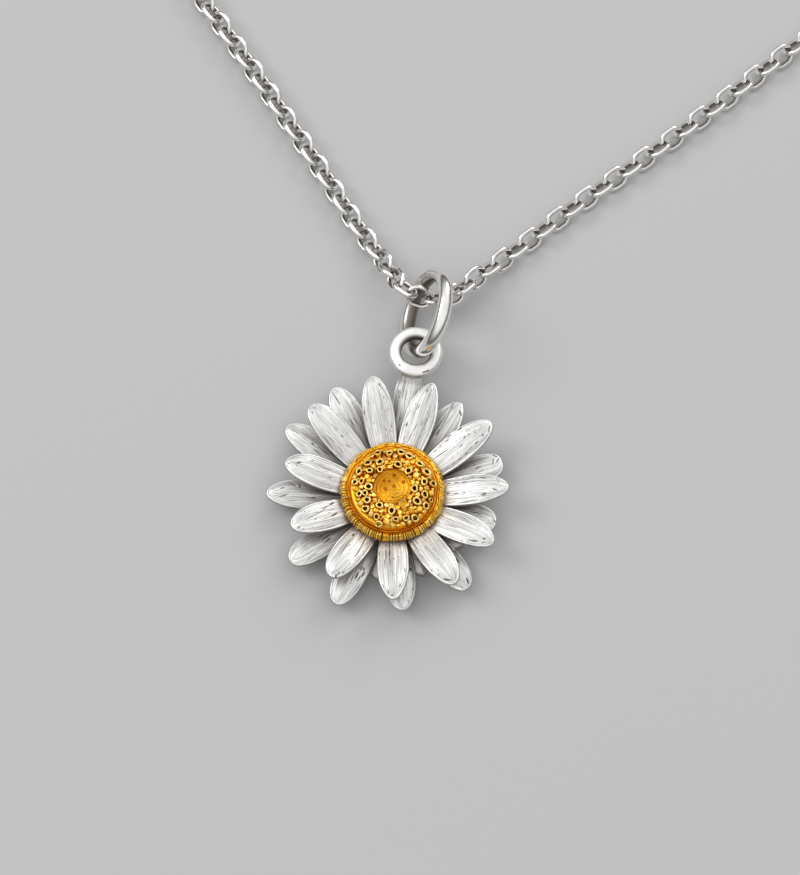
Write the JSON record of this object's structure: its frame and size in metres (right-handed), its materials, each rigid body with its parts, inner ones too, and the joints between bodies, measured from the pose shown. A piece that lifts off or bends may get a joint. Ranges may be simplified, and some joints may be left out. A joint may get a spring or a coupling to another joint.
{
  "type": "flower pendant necklace",
  "caption": "Silver daisy pendant with a gilded centre, hung by a jump ring on a fine cable chain with a bolt-ring clasp, lying face up.",
  "frame": {"origin": "on the flower's axis at the flat back of the flower, where the pendant rests", "axes": "+Y from the flower to its hanging loop and on along the laid-out chain, +Z out of the flower's face, +X to the right as seen from above"},
  "size_m": [0.1213, 0.1731, 0.0061],
  "materials": {
    "oxidised_silver": "matt brushed silver, darkened in its engraved lines, bright on its rims",
    "polished_silver": "polished silver",
    "chain_silver": "polished silver wire",
    "gilding": "gilded, satin in the cup and bright on the edges"
  },
  "bodies": {
    "root": {"flower": "oxidised_silver", "flower_centre": "gilding", "bail_ring": "polished_silver", "chain_left": "chain_silver", "chain_right": "chain_silver", "clasp": "polished_silver", "end_ring": "polished_silver"}
  },
  "joints": []
}
